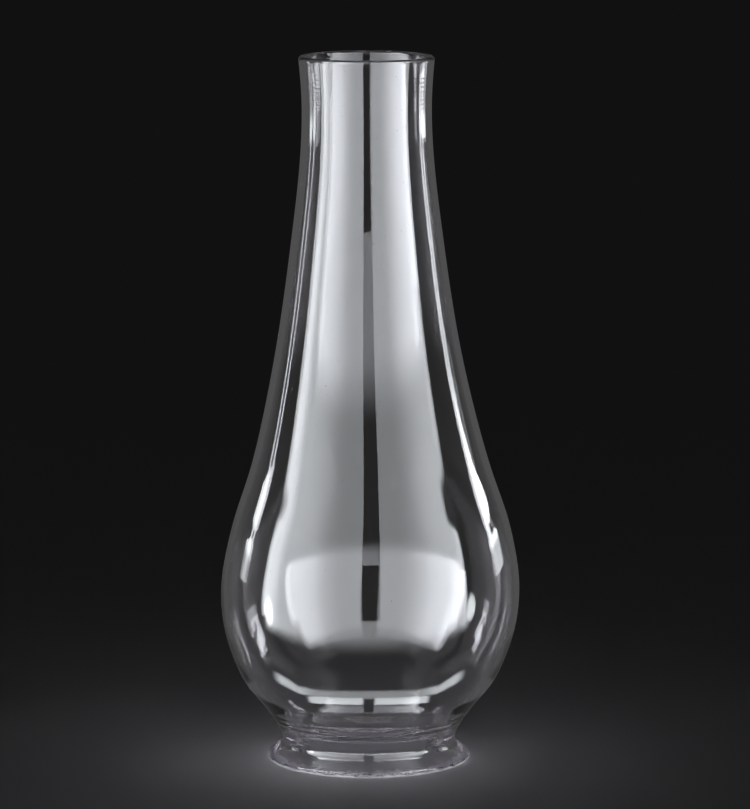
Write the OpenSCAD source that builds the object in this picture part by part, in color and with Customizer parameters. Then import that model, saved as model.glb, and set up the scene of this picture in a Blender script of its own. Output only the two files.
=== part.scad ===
// Oil lamp chimney: one piece of blown clear glass, a body of revolution about Z.
// It stands on its ground foot at z = 0, and every size is in millimetres.

/* [Overall] */
// Overall height, from the ground foot to the top of the fire-polished rim
height = 221.5; // [210:0.5:240]

/* [Foot] */
// Outside diameter of the foot, which the burner's prongs hold
foot_d = 63.5; // [62:0.1:66]
// Height of the straight band round the foot's lip
foot_band_h = 0.8; // [0.5:0.1:1.2]
// Radius of the lip's two outer edges
lip_edge_r = 0.45; // [0.2:0.05:0.5]
// Outside diameter of the neck above the foot
neck_d = 54.5; // [52:0.1:56]
// Height of the middle of the neck
neck_z = 6.2; // [5.8:0.1:7]
// Height of the straight land round the neck
neck_land = 1.0; // [0.5:0.1:1.5]

/* [Bulb] */
// Largest outside diameter
bulb_d = 94; // [88:0.5:98]
// Height of the largest diameter
bulb_z = 53; // [50:0.5:58]

/* [Flue] */
// Outside diameter of the throat, the narrowest place of the flue
throat_d = 40.4; // [38:0.1:44]
// Depth of the throat below the rim
throat_depth = 17.0; // [12:0.5:22]
// Outside diameter at the rim, which flares a little
rim_d = 42.3; // [41:0.1:46]

/* [Wall] */
// Wall thickness at the foot and the neck
foot_wall = 2.5; // [2:0.1:3]
// Wall thickness round the bulb, where the glass is blown thinnest
bulb_wall = 1.6; // [1.4:0.1:2.2]
// Wall thickness of the flue
flue_wall = 1.9; // [1.5:0.1:2.2]
// Thickness of the rounded rim
rim_wall = 2.3; // [2:0.1:2.6]

/* [Hidden] */
$fn = 128;
curve_steps = 10;
arc_steps = 6;

foot_r = foot_d / 2;
neck_r = neck_d / 2;
bulb_r = bulb_d / 2;
throat_r = throat_d / 2;
rim_r = rim_d / 2;
throat_z = height - throat_depth;

// The lip's upper edge turns through this angle, and the foot flares in from there.
lip_angle = 50;
lip_centre_r = foot_r - lip_edge_r;
flare_r = lip_centre_r + lip_edge_r * cos(lip_angle);
flare_z = lip_edge_r + foot_band_h + lip_edge_r * sin(lip_angle);

// The shoulder from the neck to the bulb, and the flue from the bulb to the throat:
// [share of the height gained, share of the radius gained or lost].
shoulder_shape = [[0.12, 0.13], [0.245, 0.34], [0.375, 0.59], [0.55, 0.79], [0.765, 0.945]];
flue_shape = [[0.125, 0.105], [0.27, 0.365], [0.455, 0.615], [0.705, 0.845]];

// Steepness of the outline at its two ends, as change of radius for each unit of height.
foot_slope = -tan(lip_angle);
rim_slope = 0.1;

// The rim is rounded over its whole thickness, measured along the radius.
rim_edge_r = radial_wall(rim_wall, rim_slope) / 2;
rim_z = height - rim_edge_r;

// Stations of the outline from the foot's lip to the rim, from the bottom up:
// [height, outside radius, wall thickness]. The glass is thinner where it is blown wider.
neck_top = [neck_z + neck_land / 2, neck_r, foot_wall];
bulb = [bulb_z, bulb_r, bulb_wall];
throat = [throat_z, throat_r, flue_wall];
stations = concat(
    [[flare_z, flare_r, foot_wall]],
    [[neck_z - neck_land / 2, neck_r, foot_wall]],
    [neck_top],
    [for (s = shoulder_shape) between(neck_top, bulb, s[0], s[1])],
    [bulb],
    [for (s = flue_shape) between(bulb, throat, s[0], s[1])],
    [throat],
    [[rim_z, rim_r, rim_wall]]
);
last = len(stations) - 1;

// Station between a and b, at one share of the height and another of the radius and the wall.
function between(a, b, up, out) =
    [a[0] + up * (b[0] - a[0]), a[1] + out * (b[1] - a[1]), a[2] + out * (b[2] - a[2])];

// Height from station i to the next, and the steepness of the straight line between them.
function span(i) = stations[i + 1][0] - stations[i][0];
function chord(i) = (stations[i + 1][1] - stations[i][1]) / span(i);

// Steepness of the outline at station i: level where the radius is smallest or largest, and
// otherwise that of the parabola through the station and its two neighbours.
function slope(i) =
    i == 0 ? foot_slope
    : i == last ? rim_slope
    : chord(i - 1) * chord(i) <= 0 ? 0
    : (chord(i - 1) * span(i) + chord(i) * span(i - 1)) / (span(i - 1) + span(i));

// Value at share t of the way from a to b, with the slopes sa and sb over the given length.
function hermite(a, b, sa, sb, length, t) =
    (2 * pow(t, 3) - 3 * pow(t, 2) + 1) * a
    + (pow(t, 3) - 2 * pow(t, 2) + t) * length * sa
    + (3 * pow(t, 2) - 2 * pow(t, 3)) * b
    + (pow(t, 3) - pow(t, 2)) * length * sb;

// Wall measured along the radius, where the outline leans by the slope.
function radial_wall(wall, lean) = wall * sqrt(1 + lean * lean);

// Radius at station i of the outside, inset = 0, or of the inside, inset = 1.
function side_r(i, inset) = stations[i][1] - inset * radial_wall(stations[i][2], slope(i));

// One side of the wall through all stations, from the bottom up.
function wall_side(inset) = concat(
    [
        for (i = [0 : last - 1], k = [0 : curve_steps - 1])
            let (t = k / curve_steps)
                [
                    hermite(side_r(i, inset), side_r(i + 1, inset), slope(i), slope(i + 1), span(i), t),
                    stations[i][0] + t * span(i)
                ]
    ],
    [[side_r(last, inset), rim_z]]
);

// Points of an arc about a centre, from one angle up to the last, which the next curve starts at.
function arc(centre, r, from, to) = [
    for (k = [0 : arc_steps - 1])
        let (angle = from + (to - from) * k / arc_steps)
            centre + r * [cos(angle), sin(angle)]
];

function reversed(points) = [for (i = [len(points) - 1 : -1 : 0]) points[i]];

// The glass in section, anticlockwise: ground seat, lip, outside, rim, and inside back down.
module section() {
    seat_inner_r = side_r(0, 1) - flare_z * foot_slope;
    polygon(concat(
        [[seat_inner_r, 0]],
        arc([lip_centre_r, lip_edge_r], lip_edge_r, -90, 0),
        [[foot_r, lip_edge_r]],
        arc([lip_centre_r, lip_edge_r + foot_band_h], lip_edge_r, 0, lip_angle),
        wall_side(0),
        [for (p = arc([rim_r - rim_edge_r, rim_z], rim_edge_r, 0, 180)) if (p[1] > rim_z) p],
        reversed(wall_side(1))
    ));
}

module chimney() {
    color([0.90, 0.93, 0.94, 0.35])
        rotate_extrude()
            section();
}

chimney();
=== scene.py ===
"""A blown-glass oil lamp chimney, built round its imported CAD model. Every length is in metres."""

import bpy
import math
import numpy as np
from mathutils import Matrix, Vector


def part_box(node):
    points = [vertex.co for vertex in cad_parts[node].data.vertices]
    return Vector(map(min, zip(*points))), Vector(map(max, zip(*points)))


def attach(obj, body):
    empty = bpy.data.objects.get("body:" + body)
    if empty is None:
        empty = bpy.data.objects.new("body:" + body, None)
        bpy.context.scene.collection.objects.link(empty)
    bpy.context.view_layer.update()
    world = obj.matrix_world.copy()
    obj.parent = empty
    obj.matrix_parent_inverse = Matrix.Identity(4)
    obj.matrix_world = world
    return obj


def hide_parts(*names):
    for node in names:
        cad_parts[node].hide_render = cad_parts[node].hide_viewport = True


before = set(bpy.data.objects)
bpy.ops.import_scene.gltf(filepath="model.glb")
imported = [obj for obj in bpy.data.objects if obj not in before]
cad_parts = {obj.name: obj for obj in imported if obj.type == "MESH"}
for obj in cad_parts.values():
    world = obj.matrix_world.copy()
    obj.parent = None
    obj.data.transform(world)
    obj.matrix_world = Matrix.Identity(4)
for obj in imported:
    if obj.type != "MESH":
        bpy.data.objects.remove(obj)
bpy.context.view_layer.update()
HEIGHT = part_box("chimney")[1].z

MM = 0.001
SEGMENTS = 216           # columns of the mesh round the axis
SEED = 7
GROUND_HEIGHT = 0.6 * MM
FLOOR_GREY = 0.72
GLASS_IOR = 1.52


# ---------------------------------------------------------------- camera


def make_camera():
    """A long lens, a little above the rim, that looks slightly down at the chimney."""
    distance = 6.645 * HEIGHT
    eye_height = 1.535 * HEIGHT
    target = Vector((2.0 * MM, 0, 0.507 * HEIGHT))
    camera = bpy.data.objects.new("camera", bpy.data.cameras.new("camera"))
    bpy.context.scene.collection.objects.link(camera)
    camera.data.sensor_width = 36.0
    camera.data.lens = 211.9
    camera.data.clip_start = 0.05
    camera.location = (target.x, -distance, eye_height)
    camera.rotation_euler = (target - camera.location).to_track_quat("-Z", "Y").to_euler()
    bpy.context.scene.camera = camera


# ---------------------------------------------------------------- glass mesh


def wall_section(node):
    """The wall's section as points [radius, height]: up the outside, over the rim, down the inside."""
    thinnest = 0.02 * MM
    points = np.array([vertex.co for vertex in node.data.vertices])
    radius = np.hypot(points[:, 0], points[:, 1])
    height = np.round(points[:, 2], 6)
    outside, inside = [], []
    for level in np.unique(height):
        here = radius[height == level]
        outside.append((here.max(), level))
        if here.max() - here.min() > thinnest:
            inside.append((here.min(), level))
    return np.array(outside + inside[::-1])


def along(points):
    """Distance along a row of points, from its first."""
    steps = np.hypot(*np.diff(points, axis=0).T)
    return np.concatenate([[0], np.cumsum(steps)])


def smooth_section(points, pitch=0.05 * MM):
    """The section as a dense row of points, with its chords rounded into one smooth curve.

    Each point becomes the mean of its neighbours, over a window that is shortest at the lip and the rim.
    """
    lip_top, neck, shoulder = 3 * MM, 9 * MM, 30 * MM
    throat, rim = HEIGHT - 12 * MM, HEIGHT - 3 * MM
    windows = [0.06 * MM, 0.5 * MM, 2.2 * MM, 2.2 * MM, 0.1 * MM]
    distance = along(points)
    s = np.arange(0, distance[-1], pitch)
    dense = np.stack([np.interp(s, distance, points[:, k]) for k in (0, 1)], axis=1)
    i = np.arange(len(s))
    to_nearer_end = np.minimum(i, len(s) - 1 - i)
    for _ in range(2):
        window = np.interp(dense[:, 1], [lip_top, neck, shoulder, throat, rim], windows)
        half = np.minimum((window / pitch).astype(int), to_nearer_end)
        total = np.concatenate([np.zeros((1, 2)), np.cumsum(dense, axis=0)])
        dense = (total[i + half + 1] - total[i - half]) / (2 * half + 1)[:, None]
    return dense


def pick_rows(dense, coarse=1.8 * MM, fine=0.2 * MM, rippled=0.36 * MM):
    """Points for the mesh's rows: close together round the lip, the rim and the ripples inside."""
    neck_top, mouth_bottom = 17 * MM, HEIGHT - 22 * MM
    levels = [2 * MM, 8 * MM, HEIGHT - 8 * MM, HEIGHT - 2 * MM]
    z = dense[:, 1]
    inside = np.arange(len(z)) > z.argmax()
    step = np.interp(z, levels, [fine, coarse, coarse, fine])
    ripples = inside & ((z < neck_top) | (z > mouth_bottom))
    step = np.where(ripples, np.minimum(step, rippled), step)
    rows = np.concatenate([[0], np.cumsum(np.hypot(*np.diff(dense, axis=0).T) / step[1:])])
    wanted = np.linspace(0, rows[-1], int(rows[-1]))
    return np.stack([np.interp(wanted, rows, dense[:, k]) for k in (0, 1)], axis=1)


def hump(value, middle, reach):
    """A bell curve that is 1 at the middle and falls away over the reach."""
    return np.exp(-((value - middle) / reach) ** 2)


def lean(z):
    """Sideways drift of the axis at a height, as hand-blown glass has."""
    bulb_lean, rim_lean = 0.9 * MM, -0.6 * MM
    middle, reach = 80 * MM, 38 * MM
    return bulb_lean * hump(z, middle, reach) + rim_lean * (z / HEIGHT) ** 2


def waves(angle, z, lobes, random):
    """Waviness round the axis. Each of the lobes is [count, height in mm].

    The waves turn a little from the foot to the rim, and their height swells and falls.
    """
    total = 0
    for count, size in lobes:
        phase, twist, beat = random.uniform(0, 2 * math.pi, 3)
        turn = 2.2 * math.sin(twist) * z / HEIGHT
        swell = 0.75 + 0.25 * np.sin(beat + 5.0 * z / HEIGHT)
        total = total + size * MM * swell * np.cos(count * angle + phase + turn)
    return total


def chatter(angle, z, random):
    """Short ripples along Z that the tools left inside the mouth of the rim and inside the neck."""
    rim_depth, rim_pitch = 0.008 * MM, 1.35 * MM
    neck_depth, neck_pitch = 0.025 * MM, 2.0 * MM
    wander = waves(angle, z, [[2, 900], [5, 500], [9, 300]], random)
    near_rim = hump(z, HEIGHT - 11 * MM, 7 * MM)
    near_neck = hump(z, 12 * MM, 4 * MM)
    rim_ripples = rim_depth * np.sin(2 * math.pi * z / rim_pitch + 0.6 * wander)
    neck_rings = neck_depth * np.sin(2 * math.pi * z / neck_pitch + 0.3 * wander)
    return near_rim * rim_ripples + near_neck * neck_rings


def chips(angle, z, random, count=26):
    """Small nibbles out of the lip's lower edge, which is ground and has been knocked a little."""
    middle, reach = 0.25 * MM, 0.35 * MM
    depth = 0
    for _ in range(count):
        place = random.uniform(0, 2 * math.pi)
        width = random.uniform(0.012, 0.05)
        size = random.uniform(0.03, 0.16) * MM
        apart = np.angle(np.exp(1j * (angle - place)))
        depth = depth + size * hump(apart, 0, width)
    return depth * hump(z, middle, reach)


def bubble(centre, wide, tall, sides=8, levels=4):
    """One air bubble as a closed cavity: its vertices, and its faces, which look inward."""
    vertices = [centre - [0, 0, tall]]
    for k in range(1, levels + 1):
        tilt = math.pi * k / (levels + 1)
        ring, drop = wide * math.sin(tilt), tall * math.cos(tilt)
        for j in range(sides):
            turn = 2 * math.pi * j / sides
            vertices.append(centre + [ring * math.cos(turn), ring * math.sin(turn), -drop])
    vertices.append(centre + [0, 0, tall])
    last = len(vertices) - 1
    highest = last - sides
    faces = []
    for j in range(sides):
        k = (j + 1) % sides
        faces.append((0, 1 + j, 1 + k))
        for low in range(1, highest, sides):
            faces.append((low + k, low + j, low + sides + j, low + sides + k))
        faces.append((last, highest + k, highest + j))
    return vertices, faces


def bubbles(rows, top, random, count=40):
    """Tiny drawn-out bubbles scattered in the wall, near its middle: their vertices and faces."""
    vertices, faces = [], []
    for _ in range(count):
        z = random.uniform(12 * MM, HEIGHT - 8 * MM)
        angle = random.uniform(0, 2 * math.pi)
        wide = random.uniform(0.05, 0.11) * MM
        tall = wide * random.uniform(1.2, 4.0)
        outer = np.interp(z, rows[:top, 1], rows[:top, 0])
        inner = np.interp(z, rows[top:, 1][::-1], rows[top:, 0][::-1])
        middle = inner + (outer - inner) * random.uniform(0.4, 0.6)
        centre = np.array([middle * math.cos(angle) + lean(z), middle * math.sin(angle), z])
        more_vertices, more_faces = bubble(centre, wide, tall)
        faces += [tuple(len(vertices) + index for index in face) for face in more_faces]
        vertices += [tuple(point) for point in more_vertices]
    return vertices, faces


def ground_top(point):
    """Height that the grinding reaches at a point's place round the foot: its edge is ragged."""
    turn = math.atan2(point.y, point.x)
    raggedness = 0.6 * math.sin(9 * turn + 3 * math.sin(4 * turn)) * math.sin(31 * turn)
    return GROUND_HEIGHT * (1 + raggedness)


def blown_wall(rows, top, random):
    """The wall's vertices, a ring for each row, with the small errors of shape that blown glass has."""
    both_lobes = [[2, 0.10], [3, 0.06], [5, 0.022], [8, 0.010], [13, 0.004]]
    outer_lobes = [[17, 0.0016], [26, 0.0012], [41, 0.0007]]
    inner_lobes = [[3, 0.05], [7, 0.016], [12, 0.006], [19, 0.003], [31, 0.0014], [47, 0.0007]]
    angle = np.linspace(0, 2 * math.pi, SEGMENTS, endpoint=False)[None, :]
    r, z = rows[:, :1], rows[:, 1:]
    inside = (np.arange(len(rows)) > top)[:, None]
    above_lip = np.clip((z - 3 * MM) / (15 * MM), 0, 1)
    below_rim = np.clip((HEIGHT - z) / (8 * MM), 0, 1)
    both_faces = waves(angle, z, both_lobes, random)
    outer_face = waves(angle, z, outer_lobes, random)
    inner_face = waves(angle, z, inner_lobes, random) + chatter(angle, z, random)
    own_waves = np.where(inside, inner_face, outer_face) * below_rim
    radius = r + above_lip * (both_faces + own_waves) - chips(angle, z, random) * ~inside
    x = radius * np.cos(angle) + lean(z)
    y = radius * np.sin(angle)
    height = z + 0 * angle
    return np.stack([x, y, height], axis=2).reshape(-1, 3).tolist()


def wall_faces(count):
    """Faces between the rings of vertices, and from the last ring back to the first."""
    faces = []
    for i in range(count):
        low = i * SEGMENTS
        high = (i + 1) % count * SEGMENTS
        for j in range(SEGMENTS):
            k = (j + 1) % SEGMENTS
            faces.append((low + j, low + k, high + k, high + j))
    return faces


def make_glass():
    """The whole chimney as one closed mesh, with its bubbles and its ground edge."""
    random = np.random.default_rng(SEED)
    rows = pick_rows(smooth_section(wall_section(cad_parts["chimney"])))
    top = int(rows[:, 1].argmax())
    vertices = blown_wall(rows, top, random)
    faces = wall_faces(len(rows))
    bubble_vertices, bubble_faces = bubbles(rows, top, random)
    faces += [tuple(len(vertices) + index for index in face) for face in bubble_faces]
    vertices += bubble_vertices
    mesh = bpy.data.meshes.new("chimney_glass")
    mesh.from_pydata(vertices, [], faces)
    mesh.polygons.foreach_set("use_smooth", [True] * len(faces))
    mesh.materials.append(glass_material())
    mesh.materials.append(ground_material())
    for polygon in mesh.polygons:
        polygon.material_index = int(polygon.center.z < ground_top(polygon.center))
    mesh.update()
    glass = bpy.data.objects.new("chimney_glass", mesh)
    bpy.context.scene.collection.objects.link(glass)
    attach(glass, "root")
    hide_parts("chimney")
    return glass


# ---------------------------------------------------------------- materials


def glass_material():
    """Clear glass with drawn lines, fine specks, and a frosted stretch just above its ground edge."""
    material = bpy.data.materials.new("clear_glass")
    material.use_nodes = True
    nodes, links = material.node_tree.nodes, material.node_tree.links
    shader = nodes["Principled BSDF"]
    shader.inputs["Base Color"].default_value = (1, 1, 1, 1)
    shader.inputs["IOR"].default_value = GLASS_IOR
    shader.inputs["Transmission Weight"].default_value = 1.0
    absorb = nodes.new("ShaderNodeVolumeAbsorption")
    absorb.inputs["Color"].default_value = (0.84, 0.76, 0.90, 1)
    absorb.inputs["Density"].default_value = 50.0
    links.new(absorb.outputs["Volume"], nodes["Material Output"].inputs["Volume"])
    place = nodes.new("ShaderNodeTexCoord").outputs["Object"]
    specks = specked_roughness(nodes, links, place)
    ground = ground_roughness(nodes, links, place)
    rough = nodes.new("ShaderNodeMath")
    rough.operation = "MAXIMUM"
    links.new(specks, rough.inputs[0])
    links.new(ground, rough.inputs[1])
    links.new(rough.outputs["Value"], shader.inputs["Roughness"])
    links.new(drawn_lines(nodes, links, place), shader.inputs["Normal"])
    return material


def ground_material():
    """The ground edge that the chimney stands on: white, matt and still a little see-through."""
    material = bpy.data.materials.new("ground_glass")
    material.use_nodes = True
    nodes, links = material.node_tree.nodes, material.node_tree.links
    shader = nodes["Principled BSDF"]
    shader.inputs["Base Color"].default_value = (0.90, 0.88, 0.92, 1)
    shader.inputs["IOR"].default_value = GLASS_IOR
    shader.inputs["Transmission Weight"].default_value = 0.35
    place = nodes.new("ShaderNodeTexCoord").outputs["Object"]
    grain = noise_at(nodes, links, place, (2600, 2600, 2600), 4.0)
    links.new(ramp(nodes, links, grain, 0.3, 0.7, 0.35, 0.75), shader.inputs["Roughness"])
    bump = nodes.new("ShaderNodeBump")
    bump.inputs["Distance"].default_value = 0.05 * MM
    links.new(grain, bump.inputs["Height"])
    links.new(bump.outputs["Normal"], shader.inputs["Normal"])
    return material


def noise_at(nodes, links, place, scale, detail=2.0):
    """Noise over object coordinates, with its own scale along each axis, per metre."""
    mapping = nodes.new("ShaderNodeMapping")
    mapping.inputs["Scale"].default_value = scale
    noise = nodes.new("ShaderNodeTexNoise")
    noise.inputs["Scale"].default_value = 1.0
    noise.inputs["Detail"].default_value = detail
    links.new(place, mapping.inputs["Vector"])
    links.new(mapping.outputs["Vector"], noise.inputs["Vector"])
    return noise.outputs["Fac"]


def ramp(nodes, links, value, low, high, to_low, to_high):
    """The value remapped from the range low to high, and held at both ends."""
    node = nodes.new("ShaderNodeMapRange")
    for name, number in (("From Min", low), ("From Max", high), ("To Min", to_low), ("To Max", to_high)):
        node.inputs[name].default_value = number
    links.new(value, node.inputs["Value"])
    return node.outputs["Result"]


def specked_roughness(nodes, links, place):
    """Roughness of the blown faces: clean glass with scattered dust specks."""
    dust = noise_at(nodes, links, place, (1500, 1500, 1100), 1.0)
    return ramp(nodes, links, dust, 0.75, 0.81, 0.0, 0.35)


def ground_roughness(nodes, links, place):
    """Roughness just above the ground edge: frosted, and broken up where it ends."""
    split = nodes.new("ShaderNodeSeparateXYZ")
    links.new(place, split.inputs["Vector"])
    blotches = noise_at(nodes, links, place, (700, 700, 700))
    wander = ramp(nodes, links, blotches, 0.3, 0.7, -0.4 * MM, 0.5 * MM)
    edge = nodes.new("ShaderNodeMath")
    edge.operation = "ADD"
    links.new(split.outputs["Z"], edge.inputs[0])
    links.new(wander, edge.inputs[1])
    return ramp(nodes, links, edge.outputs["Value"], 0.6 * MM, 1.1 * MM, 0.4, 0.0)


def drawn_lines(nodes, links, place):
    """Normal with fine lines drawn out along Z, as the glass was drawn when hot."""
    bump = nodes.new("ShaderNodeBump")
    bump.inputs["Strength"].default_value = 1.0
    bump.inputs["Distance"].default_value = 0.0012 * MM
    links.new(noise_at(nodes, links, place, (620, 620, 16)), bump.inputs["Height"])
    return bump.outputs["Normal"]


# ---------------------------------------------------------------- studio


def smooth(value, low, high):
    """0 below low, 1 above high, and a smooth rise between."""
    t = np.clip((value - low) / (high - low), 0, 1)
    return t * t * (3 - 2 * t)


def side_level(azimuth):
    """How bright the tent is at an azimuth: dimmer beside the camera, and brighter far out."""
    turn = abs(azimuth)
    return 2.2 + 2.8 * smooth(turn, 22, 66) + 3.4 * smooth(turn, 69, 80)


def wall_glow(end):
    """Light of one wall of the tent, out to an azimuth: it is narrower high up, and soft at the top."""
    def glow(azimuth, distance, height):
        edge = end - 6.5 * smooth(height, 0.21, 0.26)
        across = 1 - smooth(abs(azimuth) - edge, -0.8, 0.8)
        below_top = 1 - smooth(height, 0.37, 0.43)
        return side_level(azimuth) * across * below_top
    return glow


def table_glow(azimuth, distance, height):
    """Light of the tent's floor, which is dark close round the chimney."""
    inner = 0.150 + 0.085 * (abs(azimuth) / 71) ** 3
    across = smooth(azimuth, -86, -80) * (1 - smooth(azimuth, 74, 80))
    return side_level(azimuth) * across * smooth(distance, inner, inner + 0.12)


def crescent_glow(azimuth, distance, height):
    """A stand-in for the light that the chimney throws down round the front of its own foot.

    It is a band that swings away from the foot at its two ends, with a brighter block in front. The
    block lies nearer to the foot, and is split by a narrow dark slit.
    """
    turn = abs(azimuth)
    centre = 0.0560 + 0.0030 * smooth(turn, 30, 52) + 0.0006 * np.maximum(turn - 50, 0)
    half = 0.0052 + 0.0008 * smooth(turn, 50, 68)
    band_level = 4.5 + 3.0 * smooth(turn, 35, 50)
    across_band = 1 - smooth(abs(distance - centre) / half, 0.4, 1.0)
    band_end = 1 - smooth(turn, 64, 75)
    block_centre, block_half, block_level = 0.0495, 0.0045, 9.5
    across_block = 1 - smooth(abs(distance - block_centre) / block_half, 0.7, 1.0)
    slit = smooth(turn, 3.2, 4.2)
    block_end = 1 - smooth(turn, 41, 46)
    band = band_level * across_band * band_end
    block = block_level * across_block * slit * block_end
    return np.maximum(band, block)


def roof_glow(azimuth, distance, height):
    """Light of the tent's roof, dimmer towards its middle."""
    return 2.0 * side_level(azimuth) * smooth(distance, 0.10, 0.30)


def lamp_glow(wide, thin):
    """Light of a tall side lamp, which is dim at its foot and has a thin waist.

    Wide and thin are the azimuths of its two edges, away from the waist and at it.
    """
    def glow(azimuth, distance, height):
        waist = smooth(height, 0.140, 0.150) * (1 - smooth(height, 0.200, 0.210))
        low, high = (wide[k] + (thin[k] - wide[k]) * waist for k in (0, 1))
        across = smooth(abs(azimuth) - low, -0.3, 0.3) * (1 - smooth(abs(azimuth) - high, -0.3, 0.3))
        return across * (2.5 + 5.5 * smooth(height, 0.10, 0.13))
    return glow


def spot_glow(azimuth, distance, height):
    """Light of a small oval lamp low at the side."""
    middle, half_width = 78, 5.0
    centre, half_height = 0.01, 0.045
    apart = np.hypot((abs(azimuth) - middle) / half_width, (height - centre) / half_height)
    return 14.0 * (1 - smooth(apart, 0.5, 1))


def strip_glow(azimuth, distance, height):
    """Light of a thin upright strip, the same all over."""
    return 3.0 + 0 * azimuth


def light_patch(name, azimuths, distances, heights, glow, front_only=False):
    """A patch of light round the chimney, seen only in reflections.

    Azimuths are degrees from the camera's side. Distances and heights give its first and last edge.
    """
    columns, rows = 96, 48
    azimuth, share = np.meshgrid(np.linspace(*azimuths, columns + 1), np.linspace(0, 1, rows + 1))
    distance = distances[0] + (distances[1] - distances[0]) * share
    height = heights[0] + (heights[1] - heights[0]) * share
    turn = np.radians(azimuth)
    x, y = distance * np.sin(turn), -distance * np.cos(turn)
    corners = np.stack([x, y, height], axis=2).reshape(-1, 3)
    width = columns + 1
    faces = [(i * width + j, i * width + j + 1, (i + 1) * width + j + 1, (i + 1) * width + j)
             for i in range(rows) for j in range(columns)]
    mesh = bpy.data.meshes.new(name)
    mesh.from_pydata(corners.tolist(), [], faces)
    level = mesh.attributes.new("glow", "FLOAT", "POINT")
    level.data.foreach_set("value", glow(azimuth, distance, height).astype(np.float32).ravel())
    patch = bpy.data.objects.new(name, mesh)
    bpy.context.scene.collection.objects.link(patch)
    patch.data.materials.append(glow_material(front_only))
    patch.visible_camera = False
    patch.visible_diffuse = False
    patch.visible_shadow = False


def by_reflection(material, direct, reflected, front_only=False):
    """Shade rays that the glass has reflected in one way, and all others in another.

    None lets the rays pass. With front_only, a ray counts as reflected only when the glass has
    reflected it more often than it has let it through.
    """
    nodes, links = material.node_tree.nodes, material.node_tree.links
    path = nodes.new("ShaderNodeLightPath")
    reflections = path.outputs["Glossy Depth"]
    if front_only:
        outside = nodes.new("ShaderNodeMath")
        outside.operation = "SUBTRACT"
        links.new(reflections, outside.inputs[0])
        links.new(path.outputs["Transmission Depth"], outside.inputs[1])
        reflections = outside.outputs["Value"]
    after = nodes.new("ShaderNodeMath")
    after.operation = "GREATER_THAN"
    after.inputs[1].default_value = 0.5
    links.new(reflections, after.inputs[0])
    clear = nodes.new("ShaderNodeBsdfTransparent")
    mix = nodes.new("ShaderNodeMixShader")
    links.new(after.outputs["Value"], mix.inputs["Fac"])
    links.new(direct or clear.outputs["BSDF"], mix.inputs[1])
    links.new(reflected or clear.outputs["BSDF"], mix.inputs[2])
    links.new(mix.outputs["Shader"], nodes["Material Output"].inputs["Surface"])


def glow_material(front_only):
    """Light from the patch's own levels, slightly cool, which hides nothing behind it."""
    name = "front_glow" if front_only else "glow"
    material = bpy.data.materials.get(name)
    if material:
        return material
    material = bpy.data.materials.new(name)
    material.use_nodes = True
    nodes, links = material.node_tree.nodes, material.node_tree.links
    nodes.remove(nodes["Principled BSDF"])
    light = nodes.new("ShaderNodeEmission")
    light.inputs["Color"].default_value = (0.93, 0.97, 1.0, 1)
    level = nodes.new("ShaderNodeAttribute")
    level.attribute_name = "glow"
    behind = nodes.new("ShaderNodeBsdfTransparent")
    both = nodes.new("ShaderNodeAddShader")
    links.new(level.outputs["Fac"], light.inputs["Strength"])
    links.new(behind.outputs["BSDF"], both.inputs[0])
    links.new(light.outputs["Emission"], both.inputs[1])
    by_reflection(material, None, both.outputs["Shader"], front_only)
    return material


def make_floor():
    """A plain pale floor in low light, far wider than the view. Reflected rays pass through it."""
    radius, sides = 12.0, 96
    turns = [2 * math.pi * k / sides for k in range(sides)]
    corners = [(radius * math.cos(turn), radius * math.sin(turn), 0) for turn in turns]
    mesh = bpy.data.meshes.new("floor")
    mesh.from_pydata(corners, [], [tuple(range(sides))])
    floor = bpy.data.objects.new("floor", mesh)
    bpy.context.scene.collection.objects.link(floor)
    material = bpy.data.materials.new("pale_floor")
    material.use_nodes = True
    shader = material.node_tree.nodes["Principled BSDF"]
    shader.inputs["Base Color"].default_value = (FLOOR_GREY, FLOOR_GREY, FLOOR_GREY, 1)
    shader.inputs["Roughness"].default_value = 0.8
    shader.inputs["Specular IOR Level"].default_value = 0.0
    by_reflection(material, shader.outputs["BSDF"], None)
    floor.data.materials.append(material)
    floor.visible_glossy = False


def make_pool():
    """A soft light from above the camera's side, which makes a small pool on the floor."""
    lamp = bpy.data.lights.new("pool", "SPOT")
    lamp.energy = 0.6
    lamp.spot_size = math.radians(10)
    lamp.spot_blend = 1.0
    lamp.shadow_soft_size = 0.12
    light = bpy.data.objects.new("pool", lamp)
    bpy.context.scene.collection.objects.link(light)
    light.location = (0.25, -0.7, 1.0)
    light.rotation_euler = (-light.location).to_track_quat("-Z", "Y").to_euler()
    light.visible_glossy = False
    light.visible_transmission = False


def make_edge_lights(glass):
    """Low soft lights all round that fall on the glass alone, and show up its ground edge and dust."""
    count, first_turn = 4, 20
    distance, height = 0.6, 0.03
    lit = bpy.data.collections.new("edge_lit")
    lit.objects.link(glass)
    for k in range(count):
        turn = math.radians(first_turn + 360 / count * k)
        lamp = bpy.data.lights.new("edge", "AREA")
        lamp.energy = 2.0
        lamp.size = 0.12
        light = bpy.data.objects.new("edge", lamp)
        bpy.context.scene.collection.objects.link(light)
        light.location = (distance * math.sin(turn), -distance * math.cos(turn), height)
        light.rotation_euler = (-light.location).to_track_quat("-Z", "Y").to_euler()
        light.light_linking.receiver_collection = lit
        light.visible_glossy = False
        light.visible_transmission = False
        light.visible_camera = False


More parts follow.
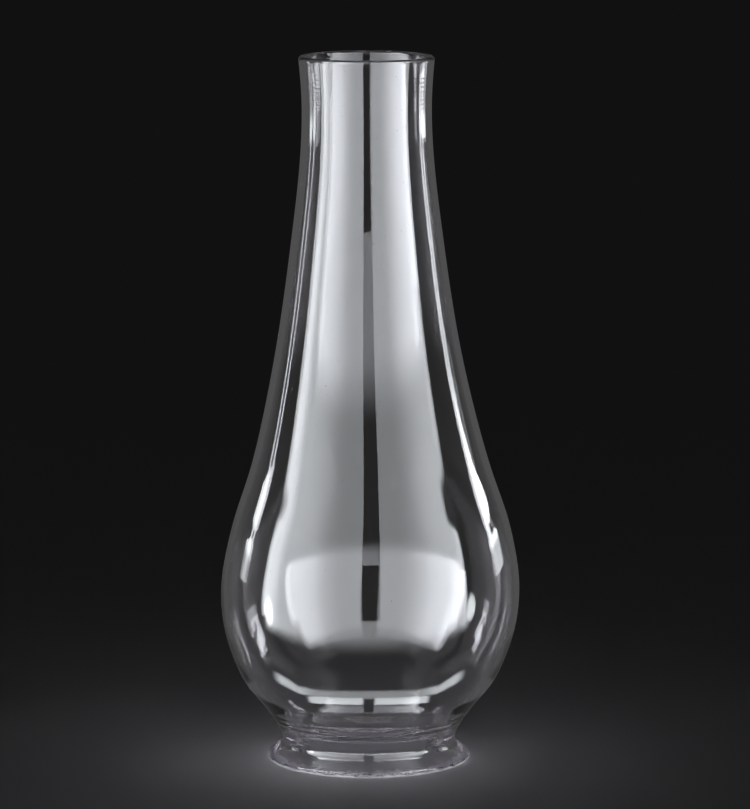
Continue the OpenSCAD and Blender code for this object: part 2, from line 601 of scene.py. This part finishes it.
def make_world():
    """A dark room. It lights the floor to the background's level, and is brighter in reflections."""
    background, reflected = 0.0056, 0.08
    world = bpy.data.worlds.new("studio")
    bpy.context.scene.world = world
    world.use_nodes = True
    nodes, links = world.node_tree.nodes, world.node_tree.links
    path = nodes.new("ShaderNodeLightPath")
    room = ramp(nodes, links, path.outputs["Is Camera Ray"], 0, 1, background / FLOOR_GREY, background)
    level = nodes.new("ShaderNodeMapRange")
    level.inputs["To Max"].default_value = reflected
    links.new(path.outputs["Glossy Depth"], level.inputs["Value"])
    links.new(room, level.inputs["To Min"])
    links.new(level.outputs["Result"], nodes["Background"].inputs["Strength"])
    nodes["Background"].inputs["Color"].default_value = (1, 1, 1, 1)


def make_tent():
    """A light tent: walls with a gap for the camera, a table and a roof, and the light at the foot."""
    near, far, gap = 0.10, 0.5, 6.9
    table, top = -0.045, 0.43
    low = 0.2 * MM
    light_patch("wall_left", (-gap, -90), (far, far), (table, top), wall_glow(87.5))
    light_patch("wall_right", (gap, 80), (far, far), (table, top), wall_glow(76.5))
    light_patch("table", (-88, 82), (near, far), (table, table), table_glow)
    light_patch("crescent", (-80, 80), (0.042, 0.082), (low, low), crescent_glow, front_only=True)
    light_patch("roof_left", (-gap, -88), (far, near), (top, top), roof_glow, front_only=True)
    light_patch("roof_right", (gap, 88), (far, near), (top, top), roof_glow, front_only=True)


def make_lamps():
    """Two tall lamps and a thin strip behind the chimney's sides, and two small oval lamps beside it."""
    behind, beside = (1.0, 1.0), (0.3, 0.3)
    tall, short = (0.03, 0.30), (-0.035, 0.055)
    left_glow = lamp_glow((112.3, 120.5), (114.2, 116.4))
    right_glow = lamp_glow((112.5, 127.5), (113.5, 117.4))
    light_patch("lamp_left", (-122, -111.5), behind, tall, left_glow)
    light_patch("lamp_right", (111.5, 130), behind, tall, right_glow)
    light_patch("lamp_edge", (122.0, 123.2), behind, (0.165, 0.21), strip_glow)
    light_patch("spot_left", (-84, -72), beside, short, spot_glow, front_only=True)
    light_patch("spot_right", (72, 84), beside, short, spot_glow, front_only=True)


def make_studio(glass):
    """Everything round the chimney, and how far its light is traced through the glass."""
    make_tent()
    make_lamps()
    make_floor()
    make_pool()
    make_edge_lights(glass)
    make_world()
    scene = bpy.context.scene
    scene.view_settings.view_transform = "Standard"
    scene.cycles.max_bounces = 16
    scene.cycles.transmission_bounces = 16
    scene.cycles.glossy_bounces = 8
    scene.cycles.transparent_max_bounces = 16


make_camera()
make_studio(make_glass())
